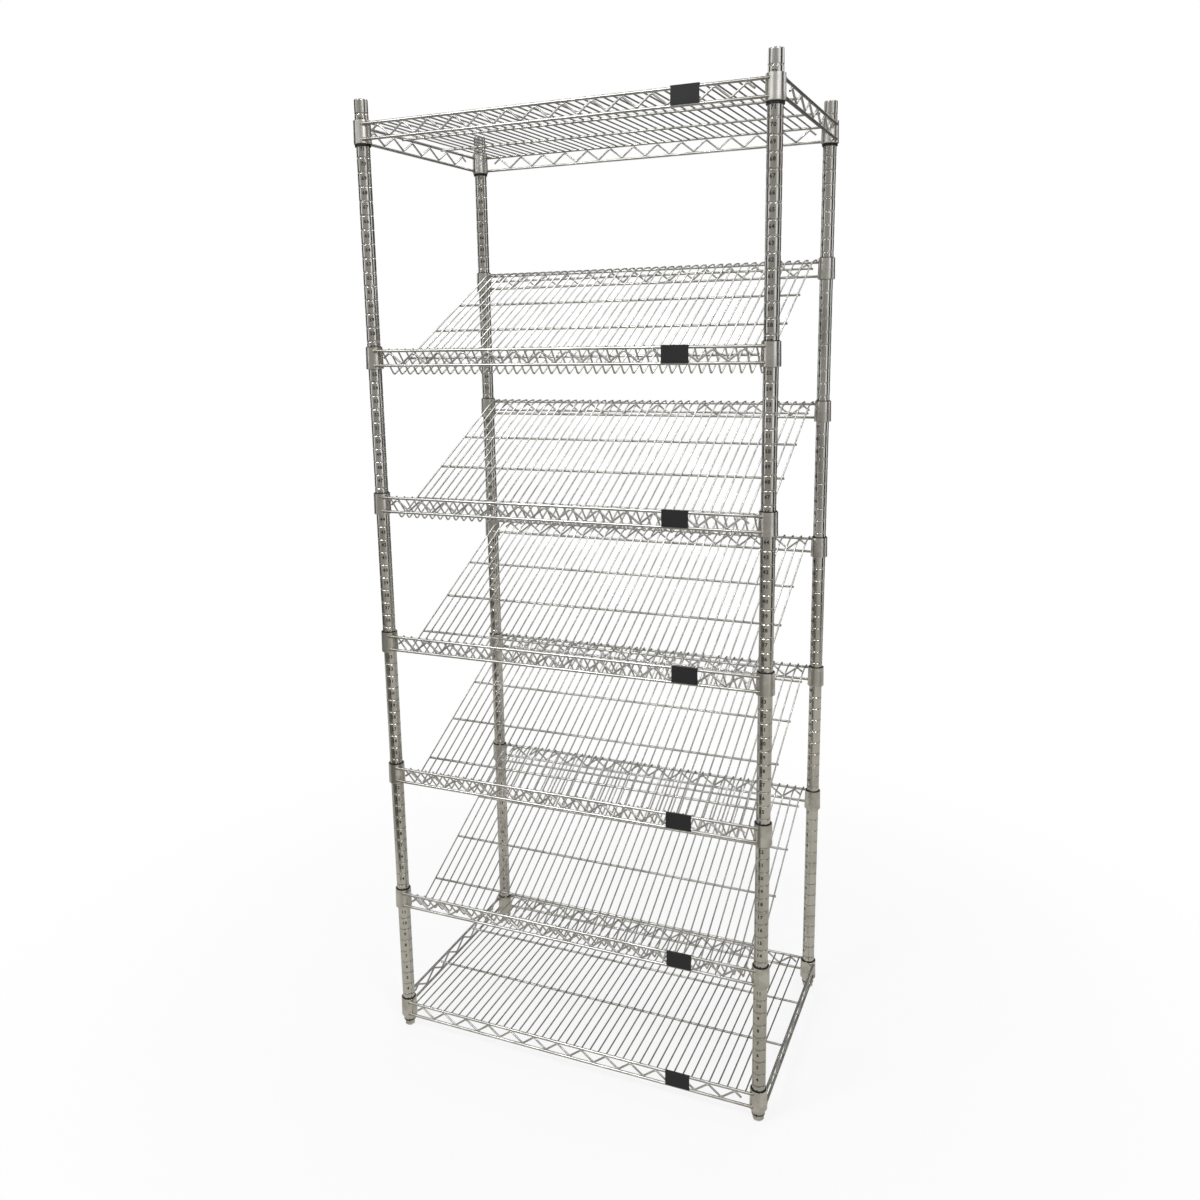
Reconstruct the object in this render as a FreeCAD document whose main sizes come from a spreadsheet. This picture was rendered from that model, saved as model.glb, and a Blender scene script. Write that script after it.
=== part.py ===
import FreeCAD, Part
import math
import os
import Sketcher
from FreeCAD import Placement, Rotation, Vector

doc = FreeCAD.newDocument("SlantedWireShelving")

# Driving sizes in millimetres, and plain counts
sizes = {
    "postSpacingX": 762.0,
    "postSpacingY": 457.2,
    "groovePitch": 25.4,
    "grooveCount": 73,
    "grooveWidth": 2.0,
    "grooveDepth": 0.6,
    "grooveFloor": 1.28,
    "markerEvery": 5,
    "markerDrop": 3.4,
    "postDiameter": 25.4,
    "postWall": 1.5,
    "postLift": 16.0,
    "capThickness": 2.0,
    "capPlugLength": 12.0,
    "capRounding": 1.2,
    "edgeInset": 0.1,
    "footAcrossFlats": 19.0,
    "footHeight": 13.0,
    "footTaper": 2.5,
    "stemDiameter": 9.5,
    "stemLength": 30.0,
    "insertLength": 34.0,
    "sleeveThickness": 1.4,
    "sleeveRise": 15.6,
    "sleeveDepth": 26.4,
    "sleeveSlot": 2.4,
    "sleeveDropTop": 5.0,
    "sleeveDraft": 0.1,
    "ribHeight": 1.0,
    "ribReach": 0.3,
    "ribRoot": 0.5,
    "cutOver": 1.0,
    "collarRise": 14.2,
    "collarDepth": 26.8,
    "collarTaper": 0.8,
    "collarWall": 1.5,
    "collarRounding": 1.2,
    "slideGap": 0.3,
    "weldGap": 0.05,
    "railDiameter": 5.5,
    "railSpacing": 27.0,
    "railRise": 7.0,
    "railOffset": 12.5,
    "railInset": 5.0,
    "trussDiameter": 3.8,
    "trussBend": 5.0,
    "trussHook": 16.0,
    "frontTrussWaves": 13,
    "frontTrussMargin": 42.0,
    "sideTrussWaves": 5,
    "sideTrussMargin": 58.0,
    "deckDiameter": 3.0,
    "deckCount": 42,
    "deckPitch": 17.5,
    "crossDiameter": 4.5,
    "flatCrossSpacing": 150.0,
    "slantRiseGrooves": 6,
    "pocketDrop": 46.0,
    "pocketSetback": 44.0,
    "pocketBend": 6.0,
    "lipOvershoot": 1.0,
    "hookRun": 32.0,
    "hookBend": 120.0,
    "hookEndRun": 1.0,
    "slantCrossCount": 4,
    "slantCrossFront": 73.0,
    "slantCrossRear": 34.0,
    "plateWidth": 48.0,
    "plateHeight": 30.0,
    "plateThickness": 1.1,
    "plateLipDepth": 3.6,
    "plateRidge": 0.8,
    "topPlateSpot": 239.0,
    "slantPlateSpot1": 222.0,
    "slantPlateSpot2": 222.0,
    "slantPlateSpot3": 240.0,
    "slantPlateSpot4": 229.0,
    "slantPlateSpot5": 230.0,
    "bottomPlateSpot": 227.0,
    "topGroove": 72,
    "slantGroove1": 56,
    "slantGroove2": 45,
    "slantGroove3": 34,
    "slantGroove4": 23,
    "slantGroove5": 12,
    "bottomGroove": 2,
}
sheet = doc.addObject("Spreadsheet::Sheet", "Sizes")
for row, (name, value) in enumerate(sizes.items(), 1):
    sheet.set("A%d" % row, name)
    sheet.set("B%d" % row, str(value))
    sheet.setAlias("B%d" % row, name)
doc.recompute()


def size(name):
    return float(sheet.get(name))


# Values worked out once from the driving sizes
halfX = size("postSpacingX") / 2
halfY = size("postSpacingY") / 2
postRadius = size("postDiameter") / 2
railRadius = size("railDiameter") / 2
deckRadius = size("deckDiameter") / 2
crossRadius = size("crossDiameter") / 2
trussRadius = size("trussDiameter") / 2
weldGap = size("weldGap")
railTop = size("railRise")
railLow = railTop - size("railSpacing")
railPlaneX = halfX + size("railOffset")
railPlaneY = halfY + size("railOffset")
slantRise = size("slantRiseGrooves") * size("groovePitch")
deckReach = (size("deckCount") - 1) * size("deckPitch") / 2
corners = {
    "front_left": (-1, -1),
    "front_right": (1, -1),
    "rear_left": (-1, 1),
    "rear_right": (1, 1),
}
nodes = []


# Helpers for objects of the document
def bind(obj, **expressions):
    for prop, text in expressions.items():
        obj.setExpression(prop.replace("__", "."), text)
    return obj


def primitive(kind, name, **expressions):
    return bind(doc.addObject("Part::" + kind, name), **expressions)


def cut(name, base, *tools):
    obj = doc.addObject("Part::Cut", name)
    obj.Base = base
    obj.Tool = tools[0] if len(tools) == 1 else group(name + "_tools", tools)
    return obj


def fuse(name, *parts):
    obj = doc.addObject("Part::MultiFuse", name)
    obj.Shapes = list(parts)
    obj.Refine = True
    return obj


def group(name, members):
    obj = doc.addObject("Part::Compound", name)
    obj.Links = list(members)
    return obj


def copyOf(master, name, placement):
    obj = doc.addObject("App::Link", name)
    obj.LinkedObject = master
    obj.LinkTransform = True
    obj.Placement = placement
    return obj


def atCorner(master, name, corner, turn=0.0):
    signX, signY = corners[corner]
    obj = copyOf(master, name, Placement(Vector(), Rotation(Vector(0, 0, 1), turn)))
    bind(
        obj,
        Placement__Base__x="%d * Sizes.postSpacingX / 2" % signX,
        Placement__Base__y="%d * Sizes.postSpacingY / 2" % signY,
    )
    return obj


def originItem(body, role):
    return next(item for item in body.Origin.OriginFeatures if item.Role == role)


def newBody(name, manySolids=False):
    body = doc.addObject("PartDesign::Body", name)
    body.AllowCompound = manySolids
    return body


def newSketch(body, plane, name, offset=Vector()):
    sketch = body.newObject("Sketcher::SketchObject", name)
    sketch.AttachmentSupport = [(originItem(body, plane), "")]
    sketch.MapMode = "FlatFace"
    sketch.AttachmentOffset = Placement(offset, Rotation())
    return sketch


def addCircle(sketch, diameter, centre=Vector()):
    index = sketch.addGeometry(Part.Circle(centre, Vector(0, 0, 1), 1.0))
    if centre.Length == 0:
        constraint("Coincident", sketch, index, 3, -1, 1)
    number = constraint("Diameter", sketch, index, 2.0)
    sketch.setExpression("Constraints[%d]" % number, diameter)
    return index


def constraint(kind, sketch, *values):
    return sketch.addConstraint(Sketcher.Constraint(kind, *values))


def addOutline(sketch, points):
    closed = points + points[:1]
    for start, end in zip(closed, closed[1:]):
        sketch.addGeometry(Part.LineSegment(Vector(*start, 0), Vector(*end, 0)))


def roundedPath(points, radius):
    # Straight runs joined by tangent arcs of one radius
    pieces = []
    start = points[0]
    for before, corner, after in zip(points, points[1:], points[2:]):
        inward = (before - corner).normalize()
        outward = (after - corner).normalize()
        half = inward.getAngle(outward) / 2
        reach = radius / math.tan(half)
        first = corner + inward * reach
        last = corner + outward * reach
        centre = corner + (inward + outward).normalize() * (radius / math.sin(half))
        middle = centre + (corner - centre).normalize() * radius
        pieces.append(Part.LineSegment(start, first))
        pieces.append(Part.Arc(first, middle, last))
        start = last
    pieces.append(Part.LineSegment(start, points[-1]))
    return pieces


def bentWire(name, plane, points, bend, diameter, depth=0.0):
    # A round wire swept along a path drawn on one of the body's planes
    body = newBody(name, manySolids=True)
    normal = {"XZ_Plane": Vector(0, -1, 0), "YZ_Plane": Vector(1, 0, 0)}[plane]
    path = newSketch(body, plane, name + "_path", Vector(0, 0, depth))
    flat = [Vector(across, up, 0) for across, up in points]
    path.addGeometry(roundedPath(flat, bend))
    toSpace = {
        "XZ_Plane": lambda p: Vector(p.x, -depth, p.y),
        "YZ_Plane": lambda p: Vector(depth, p.x, p.y),
    }[plane]
    start = toSpace(flat[0])
    along = toSpace(flat[1]) - start
    side = normal.cross(along)
    profile = newSketch(body, "XY_Plane", name + "_section")
    profile.AttachmentOffset = Placement(start, Rotation(normal, side, along, "ZXY"))
    addCircle(profile, diameter)
    pipe = body.newObject("PartDesign::AdditivePipe", name + "_sweep")
    pipe.Profile = profile
    pipe.Spine = (path, [])
    body.Tip = pipe
    return body


def rowAlongX(body, feature, count, length):
    row = body.newObject("PartDesign::LinearPattern", feature.Name + "_row")
    row.Originals = [feature]
    row.Direction = (originItem(body, "X_Axis"), [""])
    bind(row, Occurrences=count, Length=length)
    body.Tip = row
    return row


def addNode(obj, label):
    obj.Label = label
    nodes.append(obj)
    return obj


# Post: grooved tube with a second marker groove at every fifth position
def buildPost():
    body = newBody("post_master")
    ring = newSketch(body, "XY_Plane", "post_ring")
    addCircle(ring, "Sizes.postDiameter")
    addCircle(ring, "Sizes.postDiameter - 2 * Sizes.postWall")
    tube = body.newObject("PartDesign::Pad", "post_tube")
    tube.Profile = ring
    bind(tube, Length="(Sizes.grooveCount + 1) * Sizes.groovePitch - Sizes.postLift - Sizes.capThickness")
    half = size("grooveWidth") / 2
    floor = size("grooveFloor") / 2
    outer = postRadius + size("cutOver")
    inner = postRadius - size("grooveDepth")
    first = size("groovePitch") - size("postLift")
    second = first + size("groovePitch") - size("markerDrop")
    markers = "floor((Sizes.grooveCount - 2) / Sizes.markerEvery) + 1"
    rows = (
        ("groove", first, "Sizes.grooveCount", "Sizes.groovePitch"),
        ("marker", second, markers, "Sizes.markerEvery * Sizes.groovePitch"),
    )
    for name, height, count, pitch in rows:
        shape = newSketch(body, "XZ_Plane", name + "_shape")
        slope = (outer - postRadius) * (half - floor) / size("grooveDepth")
        addOutline(shape, [
            (inner, height - floor),
            (outer, height - half - slope),
            (outer, height + half + slope),
            (inner, height + floor),
        ])
        groove = body.newObject("PartDesign::Groove", name + "_cut")
        groove.Profile = shape
        groove.ReferenceAxis = (originItem(body, "Z_Axis"), [""])
        groove.Angle = 360.0
        row = body.newObject("PartDesign::LinearPattern", name + "_row")
        row.Originals = [groove]
        row.Direction = (originItem(body, "Z_Axis"), [""])
        bind(row, Occurrences=count, Length="(%s - 1) * %s" % (count, pitch))
        body.Tip = row
    return body


post = buildPost()
for corner in corners:
    node = addNode(atCorner(post, "post_copy_" + corner, corner), "post_" + corner)
    bind(node, Placement__Base__z="Sizes.postLift")

# Cap: rounded disc with a plug inside the tube
capDisc = primitive("Cylinder", "cap_disc", Radius="Sizes.postDiameter / 2 - Sizes.edgeInset", Height="Sizes.capThickness")
capPlug = primitive(
    "Cylinder",
    "cap_plug",
    Radius="Sizes.postDiameter / 2 - Sizes.postWall - Sizes.weldGap",
    Height="Sizes.capPlugLength",
    Placement__Base__z="-Sizes.capPlugLength",
)
capBlank = fuse("cap_blank", capDisc, capPlug)
doc.recompute()


def edgesAt(obj, height):
    # Round edges of an object that lie level at one height
    found = []
    for number, edge in enumerate(obj.Shape.Edges, 1):
        if all(abs(v.Z - height) < 1e-6 for v in edge.Vertexes) and hasattr(edge.Curve, "Radius"):
            found.append((edge.Curve.Radius, number))
    return [number for radius, number in sorted(found, reverse=True)]


def soften(kind, name, base, edge, amount):
    obj = doc.addObject("Part::" + kind, name)
    obj.Base = base
    obj.Edges = [(edge, amount, amount)]
    return obj


cap = soften("Fillet", "cap_master", capBlank, edgesAt(capBlank, size("capThickness"))[0], size("capRounding"))
caps = [atCorner(cap, "cap_copy_" + corner, corner) for corner in corners]
for item in caps:
    bind(item, Placement__Base__z="(Sizes.grooveCount + 1) * Sizes.groovePitch - Sizes.capThickness")
addNode(group("cap_set", caps), "post_caps")

# Levelling foot: tapered hexagon on a stem that turns in the insert of the post
hexagon = primitive(
    "Prism",
    "foot_hexagon",
    Circumradius="Sizes.footAcrossFlats / sqrt(3)",
    Height="Sizes.footHeight",
)
hexagon.Polygon = 6
footCone = primitive(
    "Cone",
    "foot_taper",
    Radius1="Sizes.footAcrossFlats / sqrt(3) - Sizes.footTaper",
    Radius2="Sizes.footAcrossFlats / sqrt(3) + Sizes.footHeight - Sizes.footTaper",
    Height="Sizes.footHeight",
)
footHead = doc.addObject("Part::MultiCommon", "foot_head")
footHead.Shapes = [hexagon, footCone]
stem = primitive(
    "Cylinder",
    "foot_stem",
    Radius="Sizes.stemDiameter / 2",
    Height="Sizes.stemLength + Sizes.footHeight / 2",
    Placement__Base__z="Sizes.footHeight / 2",
)
foot = fuse("foot_master", footHead, stem)
for corner in corners:
    addNode(atCorner(foot, "foot_copy_" + corner, corner), "foot_" + corner)

# Insert: flanged plug with a bore for the stem of the foot
flange = primitive(
    "Cylinder",
    "insert_flange",
    Radius="Sizes.postDiameter / 2 - Sizes.edgeInset",
    Height="Sizes.postLift - Sizes.footHeight - 2 * Sizes.weldGap",
)
plug = primitive(
    "Cylinder",
    "insert_plug",
    Radius="Sizes.postDiameter / 2 - Sizes.postWall - Sizes.weldGap",
    Height="Sizes.insertLength",
)
bore = primitive(
    "Cylinder",
    "insert_bore",
    Radius="Sizes.stemDiameter / 2 + Sizes.slideGap",
    Height="Sizes.insertLength + 2 * Sizes.cutOver",
    Placement__Base__z="-Sizes.cutOver",
)
insert = cut("insert_master", fuse("insert_blank", flange, plug), bore)
inserts = [atCorner(insert, "insert_copy_" + corner, corner) for corner in corners]
for item in inserts:
    bind(item, Placement__Base__z="Sizes.footHeight + Sizes.weldGap")
addNode(group("insert_set", inserts), "foot_inserts")

# Wedge sleeve: two tapered half shells with a rib that sits in a groove of the post
sleeveTop = "Sizes.postDiameter / 2 + Sizes.weldGap + Sizes.sleeveThickness"
taperPerHeight = "Sizes.collarTaper / (Sizes.collarRise + Sizes.collarDepth)"
halfTurn = "180 - 360 / pi * Sizes.sleeveSlot / Sizes.postDiameter"
shell = primitive(
    "Cone",
    "sleeve_shell",
    Radius1=sleeveTop + " + %s * (Sizes.collarRise + Sizes.sleeveDepth)" % taperPerHeight,
    Radius2=sleeveTop + " + %s * (Sizes.collarRise - Sizes.sleeveRise)" % taperPerHeight,
    Height="Sizes.sleeveRise + Sizes.sleeveDepth",
    Angle=halfTurn,
    Placement__Base__z="-Sizes.sleeveDepth",
)
hollow = primitive(
    "Cone",
    "sleeve_hollow",
    Radius1="Sizes.postDiameter / 2 + Sizes.weldGap + Sizes.sleeveDraft",
    Radius2="Sizes.postDiameter / 2 + Sizes.weldGap",
    Height="Sizes.sleeveRise + Sizes.sleeveDepth + 2 * Sizes.cutOver",
    Placement__Base__z="-Sizes.sleeveDepth - Sizes.cutOver",
)
sleeveTube = cut("sleeve_tube", shell, hollow)


def ribbedSleeve(name, ribLevel):
    # The rib goes to the height at which the groove meets this sleeve
    blank = primitive(
        "Cylinder",
        name + "_rib_blank",
        Radius="Sizes.postDiameter / 2 + Sizes.ribRoot",
        Height="Sizes.ribHeight",
        Angle=halfTurn,
        Placement__Base__z=ribLevel + " - Sizes.ribHeight / 2",
    )
    inside = primitive(
        "Cylinder",
        name + "_rib_hollow",
        Radius="Sizes.postDiameter / 2 - Sizes.ribReach",
        Height="2 * Sizes.ribHeight",
        Placement__Base__z=ribLevel + " - Sizes.ribHeight",
    )
    return fuse(name + "_master", sleeveTube, cut(name + "_rib", blank, inside))


sleeve = ribbedSleeve("sleeve", "0")
topSleeve = ribbedSleeve("top_sleeve", "Sizes.sleeveDropTop")

# Collar: tapered ring, wider at the bottom, with a rolled lower edge
collarTop = sleeveTop + " + Sizes.slideGap"
collarHeight = "Sizes.collarRise + Sizes.collarDepth"
collarInside = primitive(
    "Cone",
    "collar_inside",
    Radius1=collarTop + " + Sizes.collarTaper",
    Radius2=collarTop,
    Height=collarHeight,
    Placement__Base__z="-Sizes.collarDepth",
)
collarOutside = primitive(
    "Cone",
    "collar_outside",
    Radius1=collarTop + " + Sizes.collarTaper + Sizes.collarWall",
    Radius2=collarTop + " + Sizes.collarWall",
    Height=collarHeight,
    Placement__Base__z="-Sizes.collarDepth",
)
collarBlank = cut("collar_blank", collarOutside, collarInside)
doc.recompute()
collarEdge = edgesAt(collarBlank, -size("collarDepth"))[0]
collar = soften("Fillet", "collar_master", collarBlank, collarEdge, size("collarRounding"))
cope = primitive(
    "Cone",
    "wire_cope",
    Radius1=collarTop + " + Sizes.collarTaper + Sizes.collarWall + Sizes.weldGap",
    Radius2=collarTop + " + Sizes.collarWall + Sizes.weldGap",
    Height=collarHeight,
    Placement__Base__z="-Sizes.collarDepth",
)


def fourCorners(name, master, rearRise, turns=(0.0,)):
    copies = []
    for corner in corners:
        for turn in turns:
            item = atCorner(master, "%s_%s_%d" % (name, corner, turn), corner, turn)
            if corner.startswith("rear"):
                bind(item, Placement__Base__z=rearRise)
            copies.append(item)
    return group(name, copies)


flatRise = "0"
tiltRise = "Sizes.slantRiseGrooves * Sizes.groovePitch"
slotTurn = 360 / math.pi * size("sleeveSlot") / size("postDiameter") / 2
sleeveTurns = (slotTurn, 180 + slotTurn)


# Rails: straight wires whose ends are coped to the collars
def rail(name, along, side, height, copes):
    reach = "Sizes.postSpacing%s - 2 * Sizes.railInset" % along
    wire = primitive("Cylinder", name + "_bar", Radius="Sizes.railDiameter / 2", Height=reach)
    offset = "%d * (Sizes.postSpacing%s / 2 + Sizes.railOffset)" % (side, "Y" if along == "X" else "X")
    if along == "X":
        wire.Placement = Placement(Vector(), Rotation(Vector(0, 1, 0), 90))
        bind(wire, Placement__Base__x="-(%s) / 2" % reach, Placement__Base__y=offset)
    else:
        wire.Placement = Placement(Vector(), Rotation(Vector(1, 0, 0), -90))
        bind(wire, Placement__Base__y="-(%s) / 2" % reach, Placement__Base__x=offset)
    bind(wire, Placement__Base__z=height)
    return cut(name, wire, copes)


# Zigzag wire between two rails, with a short hook at each end
def zigzagPoints(halfLength, margin, waves, lift=0.0):
    crest = lift + railTop - railRadius - trussRadius - weldGap
    trough = lift + railLow + railRadius + trussRadius + weldGap
    reach = halfLength - margin
    step = reach / waves
    bendRise = 0.0
    for settle in range(12):
        slope = math.atan2(crest - trough + 2 * bendRise, step)
        bendRise = size("trussBend") * (1 / math.cos(slope) - 1)
    run = size("trussHook") * math.cos(slope)
    fall = size("trussHook") * math.sin(slope)
    points = [(-reach - run, crest + bendRise - fall)]
    for number in range(2 * int(waves) + 1):
        level = crest + bendRise if number % 2 == 0 else trough - bendRise
        points.append((-reach + number * step, level))
    points.append((reach + run, crest + bendRise - fall))
    return points


def truss(name, along, side, lift=0.0):
    if along == "X":
        points = zigzagPoints(halfX, size("frontTrussMargin"), size("frontTrussWaves"), lift)
        return bentWire(name, "XZ_Plane", points, size("trussBend"), "Sizes.trussDiameter", -side * railPlaneY)
    points = zigzagPoints(halfY, size("sideTrussMargin"), size("sideTrussWaves"), lift)
    return bentWire(name, "YZ_Plane", points, size("trussBend"), "Sizes.trussDiameter", side * railPlaneX)


railTopText = "Sizes.railRise"
railLowText = "Sizes.railRise - Sizes.railSpacing"
deckLength = "(Sizes.deckCount - 1) * Sizes.deckPitch"

# Flat shelf: rails and zigzags on four sides, level deck on two cross wires
flatCopes = fourCorners("flat_copes", cope, flatRise)
flatRails = []
flatTrusses = []
for along, sideNames in (("X", ("front", "rear")), ("Y", ("left", "right"))):
    for side, sideName in zip((-1, 1), sideNames):
        for level, height in (("top", railTopText), ("low", railLowText)):
            flatRails.append(rail("flat_rail_%s_%s" % (sideName, level), along, side, height, flatCopes))
        flatTrusses.append(truss("flat_truss_" + sideName, along, side))
flatDeckReach = "Sizes.postSpacingY / 2 + Sizes.railOffset - Sizes.railDiameter / 2 - Sizes.weldGap"
flatDeck = newBody("flat_deck", manySolids=True)
deckSpot = newSketch(flatDeck, "XZ_Plane", "flat_deck_section")
deckCircle = addCircle(deckSpot, "Sizes.deckDiameter", Vector(-deckReach, railTop, 0))
deckBar = flatDeck.newObject("PartDesign::Pad", "flat_deck_bar")
deckBar.Profile = deckSpot
deckBar.Midplane = True
bind(deckBar, Length="2 * (%s)" % flatDeckReach)
rowAlongX(flatDeck, deckBar, "Sizes.deckCount", deckLength)
crossSpan = "Sizes.postSpacingX + 2 * Sizes.railOffset - Sizes.railDiameter - 2 * Sizes.weldGap"
crossDrop = "Sizes.deckDiameter / 2 + Sizes.crossDiameter / 2 + Sizes.weldGap"
flatCrosses = []
for side, sideName in ((-1, "front"), (1, "rear")):
    wire = primitive("Cylinder", "flat_cross_" + sideName, Radius="Sizes.crossDiameter / 2", Height=crossSpan)
    wire.Placement = Placement(Vector(), Rotation(Vector(0, 1, 0), 90))
    bind(
        wire,
        Placement__Base__x="-(%s) / 2" % crossSpan,
        Placement__Base__y="%d * Sizes.flatCrossSpacing / 2" % side,
        Placement__Base__z="Sizes.railRise - (%s)" % crossDrop,
    )
    flatCrosses.append(wire)

# Slanted shelf: front and rear rails at two heights, deck wires bent to a pocket at the front
tiltCopes = fourCorners("tilt_copes", cope, tiltRise)
tiltRails = []
tiltTrusses = []
for side, sideName, lift, liftText in ((-1, "front", 0.0, ""), (1, "rear", slantRise, " + " + tiltRise)):
    for level, height in (("top", railTopText), ("low", railLowText)):
        tiltRails.append(rail("tilt_rail_%s_%s" % (sideName, level), "X", side, height + liftText, tiltCopes))
    tiltTrusses.append(truss("tilt_truss_" + sideName, "X", side, lift))
rest = railRadius + deckRadius + weldGap
rearCorner = Vector(railPlaneY - size("hookRun"), railTop + slantRise + rest, 0)
frontRail = Vector(-railPlaneY, railTop, 0)
pocket = frontRail + Vector(size("pocketSetback"), -size("pocketDrop"), 0)
upSlope = (rearCorner - pocket).normalize()
offSlope = Vector(-upSlope.y, upSlope.x, 0)
toRail = frontRail - pocket
lean = math.atan2(-toRail.x, toRail.y) - math.asin(rest / toRail.Length)
upLip = Vector(-math.sin(lean), math.cos(lean), 0)
lipEnd = pocket + upLip * (math.sqrt(toRail.Length ** 2 - rest ** 2) + size("lipOvershoot"))
hookEnd = Vector(railPlaneY + size("hookEndRun"), rearCorner.y, 0)


def tiltDeckWire():
    body = newBody("tilt_deck", manySolids=True)
    path = newSketch(body, "YZ_Plane", "tilt_deck_path", Vector(0, 0, -deckReach))
    lip = roundedPath([lipEnd, pocket, (pocket + rearCorner) * 0.5], size("pocketBend"))
    hook = roundedPath([(pocket + rearCorner) * 0.5, rearCorner, hookEnd], size("hookBend"))
    slope = Part.LineSegment(lip[-1].StartPoint, hook[0].EndPoint)
    path.addGeometry(lip[:-1] + [slope] + hook[1:])
    section = newSketch(body, "XY_Plane", "tilt_deck_section")
    start = Vector(-deckReach, lipEnd.x, lipEnd.y)
    along = Vector(0, -upLip.x, -upLip.y)
    across = Vector(1, 0, 0)
    section.AttachmentOffset = Placement(start, Rotation(across, along.cross(across), along, "ZXY"))
    addCircle(section, "Sizes.deckDiameter")
    pipe = body.newObject("PartDesign::AdditivePipe", "tilt_deck_sweep")
    pipe.Profile = section
    pipe.Spine = (path, [])
    rowAlongX(body, pipe, "Sizes.deckCount", deckLength)
    return body


tiltDeck = tiltDeckWire()
tiltCrosses = []
slopeLength = (rearCorner - pocket).Length
crossFirst = size("slantCrossFront")
crossStep = (slopeLength - size("slantCrossRear") - crossFirst) / (size("slantCrossCount") - 1)
for number in range(int(size("slantCrossCount"))):
    below = deckRadius + crossRadius + weldGap
    spot = pocket + upSlope * (crossFirst + number * crossStep) - offSlope * below
    wire = primitive(
        "Cylinder",
        "tilt_cross_%d" % (number + 1),
        Radius="Sizes.crossDiameter / 2",
        Height=deckLength + " + 2 * Sizes.deckDiameter",
    )
    wire.Placement = Placement(Vector(0, spot.x, spot.y), Rotation(Vector(0, 1, 0), 90))
    bind(wire, Placement__Base__x="-(%s) / 2 - Sizes.deckDiameter" % deckLength)
    tiltCrosses.append(wire)

# Label plate: bare plate with a lip over the front top rail and a ridge above the lower one
plateBack = -railPlaneY - railRadius - weldGap
plateFront = plateBack - size("plateThickness")
lipUnder = railTop + railRadius + weldGap
lipTop = lipUnder + size("plateThickness")
ridgeLow = railLow + railRadius + weldGap
plate = newBody("plate_master")
plateShape = newSketch(plate, "YZ_Plane", "plate_shape")
addOutline(plateShape, [
    (plateFront, lipTop - size("plateHeight")),
    (plateBack, lipTop - size("plateHeight")),
    (plateBack, ridgeLow),
    (plateBack + size("plateRidge"), ridgeLow + size("plateRidge") / 2),
    (plateBack, ridgeLow + size("plateRidge") * 1.5),
    (plateBack, lipUnder),
    (plateBack + size("plateLipDepth"), lipUnder),
    (plateBack + size("plateLipDepth"), lipTop),
    (plateFront, lipTop),
])
plateBar = plate.newObject("PartDesign::Pad", "plate_bar")
plateBar.Profile = plateShape
plateBar.Midplane = True
bind(plateBar, Length="Sizes.plateWidth")

# Sets shared by the shelves of one kind
kits = {
    "flat": {
        "collars": fourCorners("flat_collar_set", collar, flatRise),
        "sleeves": fourCorners("flat_sleeve_set", sleeve, flatRise, sleeveTurns),
        "rails": group("flat_rail_set", flatRails),
        "trusses": group("flat_truss_set", flatTrusses),
        "cross_wires": group("flat_cross_set", flatCrosses),
        "deck_wires": flatDeck,
    },
    "slant": {
        "collars": fourCorners("tilt_collar_set", collar, tiltRise),
        "sleeves": fourCorners("tilt_sleeve_set", sleeve, tiltRise, sleeveTurns),
        "rails": group("tilt_rail_set", tiltRails),
        "trusses": group("tilt_truss_set", tiltTrusses),
        "cross_wires": group("tilt_cross_set", tiltCrosses),
        "deck_wires": tiltDeck,
    },
}
shelves = [
    ("top_flat", "flat", "topGroove", "topPlateSpot"),
    ("slant_1", "slant", "slantGroove1", "slantPlateSpot1"),
    ("slant_2", "slant", "slantGroove2", "slantPlateSpot2"),
    ("slant_3", "slant", "slantGroove3", "slantPlateSpot3"),
    ("slant_4", "slant", "slantGroove4", "slantPlateSpot4"),
    ("slant_5", "slant", "slantGroove5", "slantPlateSpot5"),
    ("bottom_flat", "flat", "bottomGroove", "bottomPlateSpot"),
]
topSleeves = fourCorners("top_sleeve_set", topSleeve, flatRise, sleeveTurns)
for shelf, kind, groove, spot in shelves:
    level = "Sizes.%s * Sizes.groovePitch" % groove
    for piece, master in kits[kind].items():
        drop = ""
        if (shelf, piece) == ("top_flat", "sleeves"):
            master, drop = topSleeves, " - Sizes.sleeveDropTop"
        node = addNode(copyOf(master, "%s_%s_copy" % (shelf, piece), Placement()), "%s_%s" % (shelf, piece))
        bind(node, Placement__Base__z=level + drop)
    label = addNode(copyOf(plate, shelf + "_plate_copy", Placement()), shelf + "_label_plate")
    bind(label, Placement__Base__x="Sizes." + spot, Placement__Base__z=level)

doc.recompute()

# Every object must be sound before anything is written
for obj in doc.Objects:
    if "Invalid" in obj.State or "Error" in obj.State:
        raise RuntimeError("%s is %s" % (obj.Name, obj.State))
os.makedirs("parts", exist_ok=True)
for node in nodes:
    solids = Part.getShape(node).Solids
    shape = solids[0] if len(solids) == 1 else Part.makeCompound(solids)
    if not solids or shape.isNull() or not shape.isValid():
        raise RuntimeError("%s has no sound shape" % node.Label)
    shape.exportStep("parts/%s.step" % node.Label)
print("wrote", len(nodes), "nodes")
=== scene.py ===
import bmesh
import bpy
import math
from mathutils import Matrix, Vector


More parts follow.
